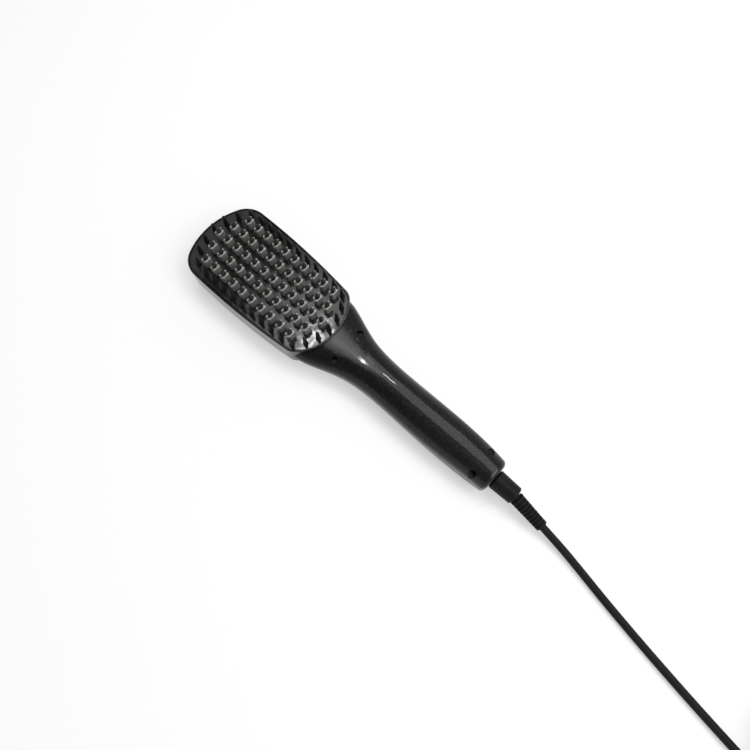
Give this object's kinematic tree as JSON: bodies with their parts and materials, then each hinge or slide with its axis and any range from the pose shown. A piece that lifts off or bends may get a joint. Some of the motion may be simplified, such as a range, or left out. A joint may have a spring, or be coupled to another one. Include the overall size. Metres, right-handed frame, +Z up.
{
  "type": "heated straightening brush",
  "caption": "Paddle-shaped heated straightening brush with rows of slotted teeth, a rim of bristles, a smooth handle and a swivel cord with a two-pin plug.",
  "frame": {"origin": "on the floor under the middle of the brush's bounding box, cord left out", "axes": "+X from the head towards the cord, +Y across the head, +Z up, the way the teeth point"},
  "size_m": [0.6527, 0.0744, 0.0344],
  "materials": {
    "housing_plastic": "high-gloss dark grey with a fine metallic flake",
    "swivel_plastic": "satin black",
    "coated_metal": "dark grey ceramic coating",
    "tip_plastic": "matt black heat-proof plastic",
    "heater_aluminium": "bare aluminium case",
    "mica": "pale mineral sheet",
    "pressed_steel": "plain zinc plate",
    "black_steel": "black oxide",
    "shield_plastic": "heat-proof plastic",
    "sensor": "resin-dipped",
    "lead_insulation": "silicone-covered wire",
    "board": "glass-fibre board with solder mask",
    "component_black": "moulded component case",
    "capacitor_sleeve": "shrink sleeve",
    "window": "smoked clear plastic",
    "button_plastic": "satin dark grey",
    "contact_brass": "bare brass",
    "cord_rubber": "matt black flexible plastic",
    "tie_rubber": "soft strap",
    "plug_plastic": "moulded black plastic",
    "pin_metal": "nickel-plated brass"
  },
  "bodies": {
    "brush": {"front_shell": "housing_plastic", "back_shell": "housing_plastic", "heating_plate": "coated_metal", "tooth_row_1": "coated_metal", "tooth_row_2": "coated_metal", "tooth_row_3": "coated_metal", "tooth_row_4": "coated_metal", "tooth_row_5": "coated_metal", "tooth_tips": "tip_plastic", "bristles_far": "tip_plastic", "bristles_right": "tip_plastic", "bristles_near": "tip_plastic", "bristles_left": "tip_plastic", "bristle_frame": "tip_plastic", "ptc_heaters": "heater_aluminium", "mica_sheet": "mica", "heater_clamp": "pressed_steel", "clamp_screws": "pressed_steel", "plate_screws": "pressed_steel", "shield_screws": "pressed_steel", "board_screws": "pressed_steel", "thermal_fuse": "pressed_steel", "housing_screws": "black_steel", "heat_shield": "shield_plastic", "thermistor": "sensor", "heater_leads": "lead_insulation", "mains_leads": "lead_insulation", "control_board": "board", "controller_chip": "component_black", "triac": "component_black", "tact_switches": "component_black", "display_module": "component_black", "contact_carrier": "component_black", "filter_capacitor": "capacitor_sleeve", "display_window": "window", "contact_springs": "contact_brass", "strain_relief_boot": "cord_rubber", "power_cord": "cord_rubber", "cord_coil": "cord_rubber", "cord_tail": "cord_rubber", "cord_tie": "tie_rubber", "plug_body": "plug_plastic", "plug_pins": "pin_metal"},
    "power_button": {"power_button": "button_plastic"},
    "temp_up_button": {"temp_up_button": "button_plastic"},
    "temp_down_button": {"temp_down_button": "button_plastic"},
    "swivel": {"swivel_collar": "swivel_plastic", "slip_rings": "contact_brass"}
  },
  "joints": [
    {"name": "power_press", "type": "slide", "parent": "brush", "child": "power_button", "axis": [0, 0, 1], "range_m": [0, 0.0006], "stiffness_N_per_m": 2000, "springref_m": -0.0003},
    {"name": "temp_up_press", "type": "slide", "parent": "brush", "child": "temp_up_button", "axis": [0, 0, 1], "range_m": [0, 0.0006], "stiffness_N_per_m": 2000, "springref_m": -0.0003},
    {"name": "temp_down_press", "type": "slide", "parent": "brush", "child": "temp_down_button", "axis": [0, 0, 1], "range_m": [0, 0.0006], "stiffness_N_per_m": 2000, "springref_m": -0.0003},
    {"name": "cord_swivel", "type": "hinge", "parent": "brush", "child": "swivel", "pos_m": [0.11995, 0, 0.0149], "axis": [1, 0, 0], "continuous": true}
  ]
}
